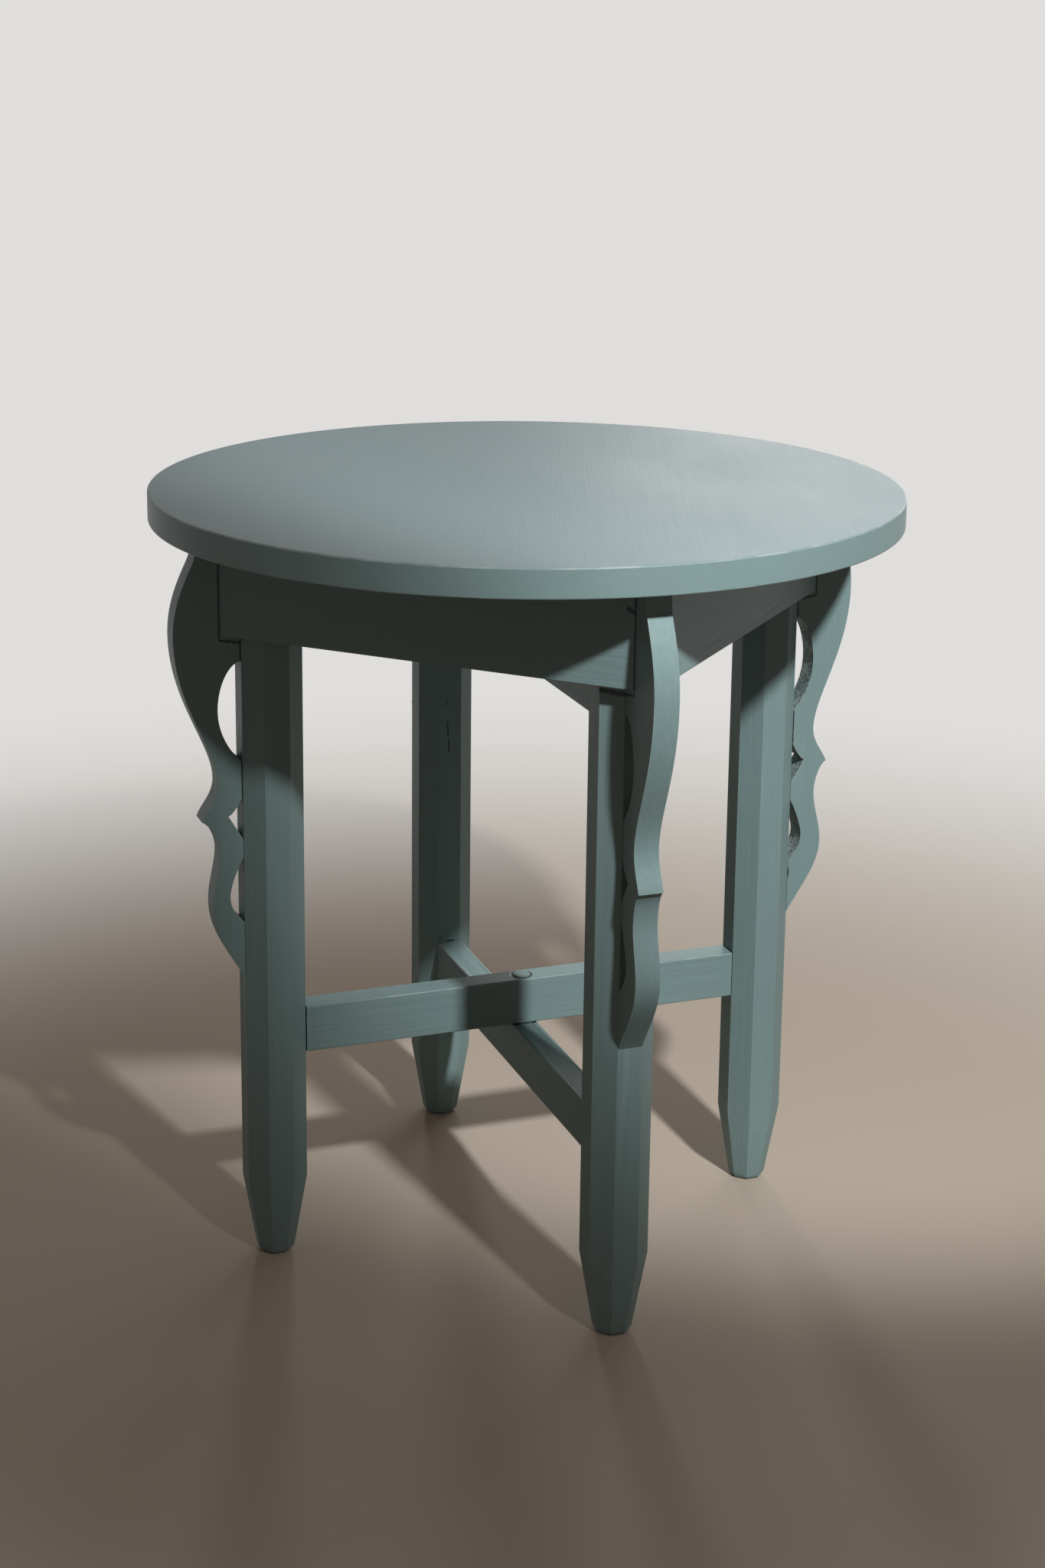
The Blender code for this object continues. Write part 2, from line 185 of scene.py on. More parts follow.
def make_paint_film():
    """The colour, roughness and relief of brushed satin paint at a place on a piece."""
    inputs = {
        "Place": "Vector", "Streaks": "Vector", "Colour": "Color",
        "Rubbed": "Float", "Brushing": "Float"}
    outputs = {"Colour": "Color", "Roughness": "Float", "Relief": "Float"}
    tree, given, fill = new_group("paint_film", inputs, outputs)
    place = given["Place"]
    thick = clouds(tree, place, CLOUDS_PER_METRE, detail=3)
    streaks = clouds(tree, given["Streaks"], 1, detail=3, roughness=0.6)
    streaks = sum_of(tree, "SUBTRACT", streaks, NOISE_MIDDLE)
    streaks = sum_of(tree, "MULTIPLY", streaks, given["Brushing"])
    stipple = clouds(tree, place, STIPPLE_PER_METRE)
    specks = add(tree, "ShaderNodeTexVoronoi", {"Vector": place, "Scale": NIBS_PER_METRE}).outputs
    rare = spread(tree, specks["Color"], *NIBS_CHOSEN, 0, 1)
    nibs = sum_of(tree, "MULTIPLY", rare, spread(tree, specks["Distance"], 0, NIB_SIZE, 1, 0))

    cloudy = spread(tree, thick, *CLOUD_RANGE, *SHADE_RANGE)
    streaky = spread(tree, streaks, *STREAK_RANGE, *SHADE_RANGE)
    shade = scaled(tree, given["Colour"], sum_of(tree, "MULTIPLY", cloudy, streaky))
    patchy = clouds(tree, place, WEAR_PER_METRE, detail=3)
    patchy = spread(tree, patchy, *WEAR_RANGE, *WEAR_SHARE)
    worn = sum_of(tree, "MULTIPLY", given["Rubbed"], patchy)
    fill("Colour", mixed(tree, worn, shade, (*RUBBED_COLOUR, 1)))

    brushed = spread(tree, streaks, *STREAK_RANGE, *PAINT_ROUGHNESS)
    uneven = spread(tree, thick, *CLOUD_RANGE, *CLOUDY_ROUGHNESS)
    fill("Roughness", sum_of(tree, "ADD", brushed, uneven))

    relief = sum_of(tree, "ADD", streaks, sum_of(tree, "MULTIPLY", stipple, STIPPLE_RELIEF))
    fill("Relief", sum_of(tree, "ADD", relief, sum_of(tree, "MULTIPLY", nibs, NIB_RELIEF)))
    return tree


paint_film = make_paint_film()


def new_material(name):
    """A material, its tree, its shader, and the place on the piece in the model's frame."""
    material = bpy.data.materials.new(name)
    material.use_nodes = True
    tree = material.node_tree
    place = add(tree, "ShaderNodeTexCoord").outputs["Object"]
    return material, tree, tree.nodes["Principled BSDF"], place


def give_surface(tree, shader, colour, roughness, relief, strength, depth):
    """Gives a shader its colour and roughness, and a bump of some strength and depth."""
    bump = add(tree, "ShaderNodeBump", {"Height": relief, "Strength": strength, "Distance": depth})
    tree.links.new(colour, shader.inputs["Base Color"])
    tree.links.new(roughness, shader.inputs["Roughness"])
    tree.links.new(bump.outputs["Normal"], shader.inputs["Normal"])


def painted(name, lie, turn=0, brushing=1.0, marks=()):
    """Paint brushed along X, Y or Z of a piece that is turned about Z, with any marks on it."""
    material, tree, shader, place = new_material(name)
    shader.inputs["Specular IOR Level"].default_value = PAINT_SHEEN
    streak = [STREAK_LENGTH if axis == lie else STREAK_WIDTH for axis in "XYZ"]
    sockets = {
        "Place": place,
        "Streaks": turned_back(tree, place, turn, streak),
        "Colour": (*PAINT_COLOUR, 1),
        "Rubbed": add(tree, "ShaderNodeAttribute", attribute_name="rubbed").outputs["Fac"],
        "Brushing": brushing,
    }
    film = add(tree, "ShaderNodeGroup", sockets, node_tree=paint_film).outputs
    colour = film["Colour"]
    relief = film["Relief"]
    for mark in marks:
        colour, relief = mark(tree, place, colour, relief)
    give_surface(tree, shader, colour, film["Roughness"], relief, PAINT_BUMP, PAINT_RELIEF)
    return material


def new_shape(mesh=None):
    """A bmesh, empty or copied, whose points can be marked as rubbed."""
    shape = bmesh.new()
    if mesh:
        shape.from_mesh(mesh)
    shape.verts.layers.float.new("rubbed")
    return shape


def rub(shape, chosen):
    """Marks the chosen points as an arris where the paint was rubbed thin."""
    layer = shape.verts.layers.float["rubbed"]
    for vert in chosen:
        vert[layer] = 1.0


def turned_solid(profile, sides):
    """A solid spun about the Z axis from (radius, height) points that start and end on it."""
    shape = new_shape()
    points = [shape.verts.new((radius, 0, height)) for radius, height in profile]
    edges = [shape.edges.new(pair) for pair in zip(points, points[1:])]
    bmesh.ops.spin(
        shape, geom=points + edges, cent=(0, 0, 0), axis=(0, 0, 1),
        angle=math.radians(360), steps=sides, use_merge=True)
    bmesh.ops.remove_doubles(shape, verts=shape.verts, dist=MERGED_WITHIN)
    return shape


def put_in_order(parts, place_of):
    """Puts a shape's points or faces in the order of their places."""
    ranks = {part: rank for rank, part in enumerate(sorted(parts, key=place_of))}
    parts.sort(key=ranks.get)


def dress(name, shape, node, *materials, slot="grey_green_paint"):
    """Makes a finished shape the piece that stands for a CAD node."""
    mesh = bpy.data.meshes.new(name)
    bmesh.ops.recalc_face_normals(shape, faces=shape.faces)
    # Spin and extrude lay points and faces down in an order that changes from run to run.
    put_in_order(shape.verts, lambda vert: vert.co.to_tuple(PLACE_DIGITS))
    put_in_order(shape.faces, lambda face: face.calc_center_median().to_tuple(PLACE_DIGITS))
    shape.to_mesh(mesh)
    shape.free()
    for material in materials:
        mesh.materials.append(material)
    mesh.shade_smooth()
    mesh.set_sharp_from_angle(angle=math.radians(SMOOTH_ANGLE))
    piece = new_object(name, mesh)
    flats = piece.modifiers.new("flats_stay_flat", "WEIGHTED_NORMAL")
    flats.weight = FLATS_WEIGHT
    flats.keep_sharp = True
    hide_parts(node)
    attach(piece, "root")


top_low, top_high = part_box("tabletop")


def sheen_painted_top_face(tree, place, colour, relief):
    """The paint on the top's upper face, tinted a little greyer as a painted sheen."""
    height = add(tree, "ShaderNodeSeparateXYZ", {0: place}).outputs["Z"]
    face = spread(tree, height, top_high.z - TOP_ARRIS / 2, top_high.z - TOP_ARRIS / 8, 0, 1)
    # Painted sheen: the face is tinted greyer, as a grazing reflection of a pale room would make it.
    sheen_tinted = vector_sum(tree, "MULTIPLY", colour, PAINTED_SHEEN_TINT)[0]
    return mixed(tree, face, colour, sheen_tinted), relief


top_radius = (top_high.x - top_low.x) / 2
profile = [(0, top_low.z)]
for middle, first in ((top_low.z + TOP_ARRIS, -90), (top_high.z - TOP_ARRIS, 0)):
    for step in range(ARRIS_STEPS + 1):
        angle = math.radians(first + 90 * step / ARRIS_STEPS)
        radius = top_radius + TOP_ARRIS * (math.cos(angle) - 1)
        profile.append((radius, middle + TOP_ARRIS * math.sin(angle)))
profile.append((0, top_high.z))
top = turned_solid(profile, TOP_SIDES)
innermost = top_radius - TOP_ARRIS + MERGED_WITHIN
outermost = top_radius - MERGED_WITHIN
rub(top, [vert for vert in top.verts if innermost < vert.co.xy.length < outermost])
paint_on_top = painted("paint_on_top", "X", ROLLER_TURN, ROLLER_BRUSHING, [sheen_painted_top_face])
dress("round_top", top, "tabletop", paint_on_top)


# Legs
# Each is one piece of wood planed to eight sides, with its foot drawn in and rounded under.
# The head is cut back to seat the apron boards; the sharp arrises were eased before painting.
LEG_ARRIS = 0.0011
# How far each corner is turned from +X, in degrees.
CORNERS = {"front": -90, "right": 0, "back": 90, "left": 180}
FLAT_WITHIN = 1.0
OUTER_ANGLE = 20
SHORTEST_EASED = 0.006
EASED_STEPS = 3
# Dark lines for cracks and open joints, also used as painted shadow under the boards and round the
# pegs.
GAP_AND_SHADOW_COLOUR = (0.020, 0.023, 0.021)
GAP_DEPTH = 1.5
WAVERS_PER_METRE = 260
LINE_CORE = 0.3
LINE_EDGE = 0.7
# A mark is where it starts, where it ends, and how wide it is.
LEG_CRACKS = [
    ((-0.0038, 0.189, 0.4010), (-0.0036, 0.189, 0.3965), 0.0010),
    ((-0.0026, 0.189, 0.3805), (-0.0021, 0.189, 0.3685), 0.0012),
    ((-0.0014, 0.189, 0.3645), (-0.0013, 0.189, 0.3525), 0.0011),
]
LEG_CHIP = ((-0.0021, 0.189, 0.1746), (0.0038, 0.189, 0.1746), 0.0013)
# Painted shadow and an open joint: a dark line on the front leg's head just under the proud
# front-left board.
SHOULDER_GAP_AND_SHADOW = ((-0.0245, -0.2236, 0.5213), (-0.0101, -0.2380, 0.5200), 0.0032)


def is_outer_arris(edge):
    """Whether an edge is a long one that stands out, and not the rim of a hole."""
    return (
        edge.is_manifold
        and edge.calc_length() > SHORTEST_EASED
        and edge.calc_face_angle_signed() > math.radians(OUTER_ANGLE))


def ease(shape, chosen, width, steps):
    """Rounds the chosen edges and marks the round as rubbed."""
    round_faces = set(bmesh.ops.bevel(
        shape, geom=chosen, offset=width, offset_type="OFFSET", affect="EDGES",
        segments=steps, profile=0.5, clamp_overlap=True, material=-1)["faces"])
    rub(shape, [vert for vert in shape.verts if round_faces.issuperset(vert.link_faces)])


def eased_copy(node, width, steps=EASED_STEPS):
    """A merged copy of a CAD node's mesh, its flats in few faces and its outer arrises eased."""
    shape = new_shape(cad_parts[node].data)
    bmesh.ops.remove_doubles(shape, verts=shape.verts, dist=MERGED_WITHIN)
    bmesh.ops.dissolve_limit(
        shape, angle_limit=math.radians(FLAT_WITHIN), verts=shape.verts, edges=shape.edges)
    bmesh.ops.connect_verts_concave(shape, faces=shape.faces)
    ease(shape, [edge for edge in shape.edges if is_outer_arris(edge)], width, steps)
    return shape


def make_dark_line():
    """A mask for a thin uneven line between two places: a crack, an open joint, or a painted shadow
    line.
    """
    tree, given, fill = new_group(
        "dark_line",
        {"Place": "Vector", "Start": "Vector", "End": "Vector", "Width": "Float"},
        {"Mask": "Float"})
    run = vector_sum(tree, "SUBTRACT", given["End"], given["Start"])[0]
    way = vector_sum(tree, "SUBTRACT", given["Place"], given["Start"])[0]
    passed = vector_sum(tree, "DOT_PRODUCT", way, run)[1]
    whole = vector_sum(tree, "DOT_PRODUCT", run, run)[1]
    share = spread(tree, sum_of(tree, "DIVIDE", passed, whole), 0, 1, 0, 1)
    nearest = vector_sum(tree, "MULTIPLY_ADD", run, share, given["Start"])[0]
    waver = clouds(tree, given["Place"], WAVERS_PER_METRE, detail=3)
    waver = sum_of(tree, "SUBTRACT", waver, NOISE_MIDDLE)
    waver = sum_of(tree, "MULTIPLY", waver, given["Width"])
    away = vector_sum(tree, "DISTANCE", given["Place"], nearest)[1]
    away = sum_of(tree, "ADD", away, waver)
    core = sum_of(tree, "MULTIPLY", given["Width"], LINE_CORE)
    edge = sum_of(tree, "MULTIPLY", given["Width"], LINE_EDGE)
    fill("Mask", spread(tree, away, core, edge, 1, 0))
    return tree


dark_line = make_dark_line()


def line_mark(start, end, width, folded=None):
    """A call that draws a dark sunk line between two places on painted wood, for cracks and joints,
    and for painted shadow lines.
    """
    def mark(tree, place, colour, relief):
        line_place = folded(tree, place) if folded else place
        sockets = {"Place": line_place, "Start": start, "End": end, "Width": width}
        mask = add(tree, "ShaderNodeGroup", sockets, node_tree=dark_line).outputs["Mask"]
        sunk = sum_of(tree, "MULTIPLY", mask, -GAP_DEPTH)
        return mixed(tree, mask, colour, (*GAP_AND_SHADOW_COLOUR, 1)), sum_of(tree, "ADD", relief, sunk)
    return mark


leg_marks = [line_mark(*line) for line in (*LEG_CRACKS, LEG_CHIP, SHOULDER_GAP_AND_SHADOW)]
paint_on_legs = painted("paint_on_legs", "Z", marks=leg_marks)
for corner in CORNERS:
    leg = eased_copy(f"leg_{corner}", LEG_ARRIS)
    dress(f"eight_sided_leg_{corner}", leg, f"leg_{corner}", paint_on_legs)


# Brackets
# Each is sawn to a scroll with a fine blade from one board, its straight back dowelled to a leg.
# The outer edge was sanded; inside the eyes and the notch the paint lies on the raw sawn wood.
BRACKET_ARRIS = 0.0009
BRACKET_STEPS = 22
BRACKET_REACH = 0.053
FINE_STEPS = 2
TORN_PER_METRE = 420
TORN_RELIEF = 0.8
RIDGES_PER_METRE = 70
RIDGE_RELIEF = 0.35
SAWN_RELIEF = 0.0016
SAWN_BUMP = 0.9
SAWN_RANGE = (0.45, 0.70)
SAWN_ROUGHNESS = (0.72, 0.50)
SPECK_RANGE = (0.50, 0.68)
PORE_SHADE = 0.62
BOARD_JOINT = ((0.2550, 0, 0.5260), (0.2550, 0, 0.607), 0.0012)
# Painted shadow and an open joint: a dark line on each cheek just under the apron board's lower edge.
BOARD_GAP_AND_SHADOW = ((0.2390, 0, 0.5208), (0.2550, 0, 0.5235), 0.0016)
HEEL_JOINT = ((0.2384, 0, 0.3960), (0.2384, 0, 0.6060), 0.0012)
HEEL_HAIRLINE = ((0.2390, -0.010, 0.2841), (0.2386, -0.010, 0.2759), 0.0008)
# Upper lobe, waist, nose, lower waist, lower lobe and upper eye, as shares of BRACKET_REACH.
SCROLL_REACHES = {
    "front": (0.996, 0.419, 0.612, 0.440, 0.574, 0.330),
    "right": (0.930, 0.365, 0.610, 0.414, 0.552, 0.308),
    "back": (0.975, 0.385, 0.614, 0.400, 0.530, 0.330),
    "left": (1.000, 0.367, 0.620, 0.353, 0.467, 0.352),
}
# Knots are in shares of the bracket's reach and height: a place, and its two handles.
LOWER_EYE = [
    ((0.000, 0.129), (0.000, 0.129), (0.128, 0.147)),
    ((0.205, 0.189), (0.205, 0.166), (0.205, 0.213)),
    ((0.000, 0.277), (0.080, 0.256), (0.000, 0.277)),
]
NOTCH = [
    ((0.000, 0.321), (0.000, 0.321), (0.098, 0.344)),
    ((0.216, 0.374), (0.147, 0.359), (0.128, 0.381)),
    ((0.000, 0.417), (0.055, 0.399), (0.000, 0.417)),
]


def outer_edge(lobe, waist, nose, lower_waist, lower_lobe):
    """Knots of a bracket's outer edge, from the top to the tip, for the reaches given."""
    return [
        ((0.652, 1.000), (0.652, 1.000), (0.652, 0.985)),
        ((0.667, 0.950), (0.652, 0.965), (0.723, 0.925)),
        ((lobe, 0.781), (lobe, 0.864), (lobe, 0.630)),
        ((waist, 0.451), (waist, 0.528), (waist, 0.414)),
        ((nose, 0.367), (nose - 0.069, 0.394), (nose - 0.103, 0.360)),
        ((lower_waist, 0.293), (lower_waist, 0.325), (lower_waist, 0.255)),
        ((lower_lobe, 0.171), (lower_lobe, 0.215), (lower_lobe, 0.114)),
        ((0.000, 0.000), (0.313, 0.075), (0.000, 0.000)),
    ]


def upper_eye(depth):
    """Knots of a bracket's upper eye, which is sawn as deep as given."""
    return [
        ((0.000, 0.496), (0.000, 0.496), (0.580 * depth, 0.524)),
        ((depth, 0.613), (depth, 0.567), (depth, 0.668)),
        ((0.000, 0.720), (0.500 * depth, 0.719), (0.000, 0.720)),
    ]


def curve_through(knots):
    """Points along the curve through knots of (place, arriving handle, leaving handle)."""
    points = [Vector(knots[0][0])]
    for (start, _, leaving), (end, arriving, _) in zip(knots, knots[1:]):
        controls = [Vector(place) for place in (start, leaving, arriving, end)]
        points.extend(interpolate_bezier(*controls, BRACKET_STEPS + 1)[1:])
    return points


def on_heel(verts, heel):
    """Whether points all lie on a bracket's straight back."""
    return all(abs(vert.co.x - heel) < MERGED_WITHIN for vert in verts)


def push(shape, faces, move):
    """Extrudes faces and moves what was extruded."""
    pushed = bmesh.ops.extrude_face_region(shape, geom=faces)["geom"]
    verts = [item for item in pushed if isinstance(item, bmesh.types.BMVert)]
    bmesh.ops.translate(shape, verts=verts, vec=move)


def sawn_bracket(low, high, reaches):
    """A bracket on +X, its sanded edge in material 0 and its raw sawn walls in material 1."""
    *outer_reaches, eye_depth = reaches
    sanded = outer_edge(*outer_reaches)
    shape = new_shape()
    outline = []
    inner = set()
    for knots in (sanded, LOWER_EYE, NOTCH, upper_eye(eye_depth)):
        for share in curve_through(knots):
            out = low.x + share.x * BRACKET_REACH
            height = low.z + share.y * (high.z - low.z)
            outline.append(shape.verts.new((out, low.y, height)))
            if knots is not sanded:
                inner.add(outline[-1])
    outline.append(shape.verts.new((low.x, low.y, high.z)))
    push(shape, [shape.faces.new(outline)], (0, high.y - low.y, 0))
    for wall in shape.faces:
        is_inner = len(wall.verts) == 4 and sum(vert in inner for vert in wall.verts) == 2
        if is_inner and not on_heel(wall.verts, low.x):
            wall.material_index = 1
    bmesh.ops.recalc_face_normals(shape, faces=shape.faces)
    return shape


def make_sawn_paint():
    """Paint on raw sawn wood: dark in the torn pores, pale on the high specks."""
    material, tree, shader, place = new_material("paint_on_sawn_wood")
    torn = clouds(tree, place, TORN_PER_METRE, detail=3, roughness=0.65)
    torn = sum_of(tree, "MULTIPLY", torn, TORN_RELIEF)
    ridges = sum_of(tree, "MULTIPLY", clouds(tree, place, RIDGES_PER_METRE), RIDGE_RELIEF)
    height = sum_of(tree, "ADD", torn, ridges)
    specks = spread(tree, height, *SPECK_RANGE, 0, 1)
    dark = [PORE_SHADE * part for part in PAINT_COLOUR]
    colour = mixed(tree, specks, (*dark, 1), (*RUBBED_COLOUR, 1))
    roughness = spread(tree, height, *SAWN_RANGE, *SAWN_ROUGHNESS)
    give_surface(tree, shader, colour, roughness, height, SAWN_BUMP, SAWN_RELIEF)
    return material


def out_and_up(tree, place):
    """A place folded onto one corner: how far out along X or Y it lies, and how high."""
    parts = add(tree, "ShaderNodeSeparateXYZ", {0: place}).outputs
    along_x = sum_of(tree, "ABSOLUTE", parts["X"])
    along_y = sum_of(tree, "ABSOLUTE", parts["Y"])
    out = sum_of(tree, "MAXIMUM", along_x, along_y)
    return add(tree, "ShaderNodeCombineXYZ", {"X": out, "Z": parts["Z"]}).outputs[0]


bracket_marks = [
    line_mark(*BOARD_JOINT, out_and_up),
    line_mark(*BOARD_GAP_AND_SHADOW, out_and_up),
    line_mark(*HEEL_JOINT, out_and_up),
    line_mark(*HEEL_HAIRLINE),
]
paint_on_brackets = painted("paint_on_brackets", "Z", marks=bracket_marks)
paint_on_sawn_wood = make_sawn_paint()
bracket_low, bracket_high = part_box("bracket_right")
for corner, turn in CORNERS.items():
    bracket = sawn_bracket(bracket_low, bracket_high, SCROLL_REACHES[corner])
    rims = [
        edge for edge in bracket.edges
        if edge.verts[0].co.y * edge.verts[1].co.y > 0 and not on_heel(edge.verts, bracket_low.x)]
    ease(bracket, rims, BRACKET_ARRIS, FINE_STEPS)
    to_corner = Matrix.Rotation(math.radians(turn), 3, "Z")
    bmesh.ops.rotate(bracket, verts=bracket.verts, cent=(0, 0, 0), matrix=to_corner)
    dress(
        f"scroll_bracket_{corner}", bracket, f"bracket_{corner}",
        paint_on_brackets, paint_on_sawn_wood)


# Apron boards
# Four planed boards on edge, mitred against the brackets and dowelled into the rebated heads.
# Their arrises were eased, and the paint was brushed along each board.
BOARD_ARRIS = 0.0010
BOARD_TURNS = (-45, 45)
# How far each board's length is turned from Y, in degrees.
SIDES = {"front_left": 45, "front_right": -45, "back_right": 45, "back_left": -45}
BOARD_CHIP = ((-0.0138, -0.2506, 0.5870), (-0.0087, -0.2557, 0.5839), 0.0034)

board_paints = {
    turn: painted(f"paint_on_boards_{number}", "Y", turn, marks=[line_mark(*BOARD_CHIP)])
    for number, turn in enumerate(BOARD_TURNS, 1)}
for side, turn in SIDES.items():
    board = eased_copy(f"apron_{side}", BOARD_ARRIS)
    dress(f"apron_board_{side}", board, f"apron_{side}", board_paints[turn])


# Crossed rails
# Two pairs of planed rails between opposite legs, one lying on the other, with stub tenons.
# A peg driven down through the upper rail pins each pair where they cross.
RAIL_ARRIS = 0.0012
LEG_INNER_FLAT = 0.1888
RAIL_JOINT = ((LEG_INNER_FLAT, 0, 0.1), (LEG_INNER_FLAT, 0, 0.6), 0.0010)
CROSSING_JOINT = ((-0.0095, -0.011, 0.1736), (0.0116, -0.011, 0.1735), 0.0022)
# Painted shadow and a gap: a dark ring round each peg, where its proud rim would shade the rail.
PEG_GAP_AND_SHADOW_RING = ((0.0079, 0, 0.1), (0.0079, 0, 0.6), 0.0028)


def round_and_up(tree, place):
    """A place folded round the table's middle: how far from it, and how high."""
    parts = add(tree, "ShaderNodeSeparateXYZ", {0: place}).outputs
    level = add(tree, "ShaderNodeCombineXYZ", {"X": parts["X"], "Y": parts["Y"]}).outputs[0]
    out = vector_sum(tree, "LENGTH", level)[1]
    return add(tree, "ShaderNodeCombineXYZ", {"X": out, "Z": parts["Z"]}).outputs[0]


rail_marks = [
    line_mark(*RAIL_JOINT, out_and_up),
    line_mark(*CROSSING_JOINT),
    line_mark(*PEG_GAP_AND_SHADOW_RING, round_and_up),
]
for lie, run in (("left_right", "X"), ("front_back", "Y")):
    paint = painted(f"paint_on_rails_{lie}", run, marks=rail_marks)
    for pair in ("lower", "upper"):
        rail = eased_copy(f"{pair}_rail_{lie}", RAIL_ARRIS)
        dress(f"{pair}_cross_rail_{lie}", rail, f"{pair}_rail_{lie}", paint)


# Pegs
# A short turned pin in each crossing, painted over with the rails once it was trimmed.
# The wood has shrunk round it since, so it stands a hair proud; the thin dark ring round it is partly
# that gap and partly painted shadow of its rim.
PEG_ARRIS = 0.0006
PEG_SIDES = 40
PEG_PROUD = 0.0012
PEG_BRUSHING = 0.3

paint_on_pegs = painted("paint_on_pegs", "Z", brushing=PEG_BRUSHING)
for pair in ("lower", "upper"):
    low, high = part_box(f"{pair}_rail_peg")
    radius = (high.x - low.x) / 2
    end = high.z + PEG_PROUD
    peg = turned_solid(
        [(0, low.z), (radius, low.z), (radius, end - PEG_ARRIS), (radius - PEG_ARRIS, end), (0, end)],
        PEG_SIDES)
    dress(f"{pair}_crossing_pin", peg, f"{pair}_rail_peg", paint_on_pegs)


# Glue blocks
# Four short lengths of bare wood, rubbed in with glue where a board meets the top.
# They are left unpainted, and each is bored for one screw.
BLOCK_ARRIS = 0.0008
WOOD_PALE = (0.520, 0.350, 0.200)
WOOD_DARK = (0.330, 0.205, 0.110)
GRAIN_STRETCH = (0.06, 1, 1)
SWAYS_PER_METRE = 60
LINES_PER_METRE = 120
LINES_BENT = 7
LINE_SHARE = 0.55
LINE_RELIEF = 0.5
PORES_PER_METRE = 1500
PORE_RANGE = (0.35, 0.55)
PORE_TONES = (0.80, 1.0)
WOOD_ROUGHNESS = (0.58, 0.74)
WOOD_RELIEF = 0.0004
WOOD_BUMP = 0.5


def stretched(tree, place, stretch):
    """A place stretched along its axes."""
    return add(tree, "ShaderNodeMapping", {"Vector": place, "Scale": stretch}).outputs[0]


def make_wood_grain():
    """Growth lines and pores of bare wood whose grain runs along the first axis of Place."""
    tree, given, fill = new_group(
        "wood_grain",
        {"Place": "Vector"},
        {"Colour": "Color", "Roughness": "Float", "Relief": "Float"})
    long_way = stretched(tree, given["Place"], GRAIN_STRETCH)
    sway = clouds(tree, long_way, SWAYS_PER_METRE, detail=3)
    sockets = {
        "Vector": long_way, "Scale": LINES_PER_METRE, "Distortion": LINES_BENT,
        "Detail": 3, "Detail Scale": 1.2}
    lines = add(tree, "ShaderNodeTexWave", sockets, bands_direction="DIAGONAL").outputs["Fac"]
    pores = clouds(tree, long_way, PORES_PER_METRE)
    tone = sum_of(
        tree, "ADD", sum_of(tree, "MULTIPLY", lines, LINE_SHARE),
        sum_of(tree, "MULTIPLY", sway, 1 - LINE_SHARE))
    colour = mixed(tree, tone, (*WOOD_PALE, 1), (*WOOD_DARK, 1))
    fill("Colour", scaled(tree, colour, spread(tree, pores, *PORE_RANGE, *PORE_TONES)))
    fill("Roughness", spread(tree, tone, 0, 1, *WOOD_ROUGHNESS))
    fill("Relief", sum_of(tree, "ADD", pores, sum_of(tree, "MULTIPLY", lines, LINE_RELIEF)))
    return tree


wood_grain = make_wood_grain()


def bare_wood(name, turn):
    """Bare wood whose grain runs along X once the piece is turned back about Z."""
    material, tree, shader, place = new_material(name)
    sockets = {"Place": turned_back(tree, place, turn)}
    grain = add(tree, "ShaderNodeGroup", sockets, node_tree=wood_grain).outputs
    give_surface(
        tree, shader, grain["Colour"], grain["Roughness"], grain["Relief"], WOOD_BUMP, WOOD_RELIEF)
    return material


bare_woods = {
    turn: bare_wood(f"bare_wood_{number}", turn + 90)
    for number, turn in enumerate(BOARD_TURNS, 1)}
for side, turn in SIDES.items():
    block = eased_copy(f"glue_block_{side}", BLOCK_ARRIS, FINE_STEPS)
    dress(
        f"rubbed_glue_block_{side}", block, f"glue_block_{side}",
        bare_woods[turn], slot="bare_wood")


# Screws
# One countersunk slotted steel screw holds each glue block up against the top.
# The head is set flush; its driven face shows fine scratches and a dull bloom.
SLOT_HALF_WIDTH = 0.0005
SLOT_HALF_LENGTH = 0.0026
SLOT_DEPTH = 0.0011
CUT_WITHIN = 0.000001
SCREW_SIDES = 32
STEEL_BRIGHT = (0.60, 0.58, 0.54)
STEEL_DULL = (0.44, 0.43, 0.41)
STEEL_ROUGHNESS = (0.28, 0.48)
BLOOM_PER_METRE = 400
SCRATCHES_PER_METRE = 900
SCRATCH_STRETCH = (1, 12, 1)
SCRATCH_RELIEF = 0.0001
SCRATCH_BUMP = 0.3


def make_steel():
    """Plain plated steel with fine scratches and a dull bloom."""
    material, tree, shader, place = new_material("plated_steel")
    shader.inputs["Metallic"].default_value = 1.0
    bloom = clouds(tree, place, BLOOM_PER_METRE, detail=3)
    scratches = clouds(tree, stretched(tree, place, SCRATCH_STRETCH), SCRATCHES_PER_METRE)
    colour = mixed(tree, bloom, (*STEEL_BRIGHT, 1), (*STEEL_DULL, 1))
    roughness = spread(tree, bloom, *CLOUD_RANGE, *STEEL_ROUGHNESS)
    give_surface(tree, shader, colour, roughness, scratches, SCRATCH_BUMP, SCRATCH_RELIEF)
    return material


def cut_slot(screw, face_height):
    """Sinks the driving slot, which runs along X, into the flat face of a screw's head."""
    def head_faces():
        highest = face_height + MERGED_WITHIN
        return [face for face in screw.faces if face.calc_center_median().z < highest]

    for axis, half in (((1, 0, 0), SLOT_HALF_LENGTH), ((0, 1, 0), SLOT_HALF_WIDTH)):
        for way in (1, -1):
            parts = [part for face in head_faces() for part in (*face.verts, *face.edges, face)]
            bmesh.ops.bisect_plane(
                screw, geom=list(dict.fromkeys(parts)), dist=CUT_WITHIN,
                plane_co=way * half * Vector(axis), plane_no=axis)
    slot = [
        face for face in head_faces()
        if abs(face.calc_center_median().x) < SLOT_HALF_LENGTH
        and abs(face.calc_center_median().y) < SLOT_HALF_WIDTH]
    push(screw, slot, (0, 0, SLOT_DEPTH))
    bmesh.ops.delete(screw, geom=slot, context="FACES_ONLY")


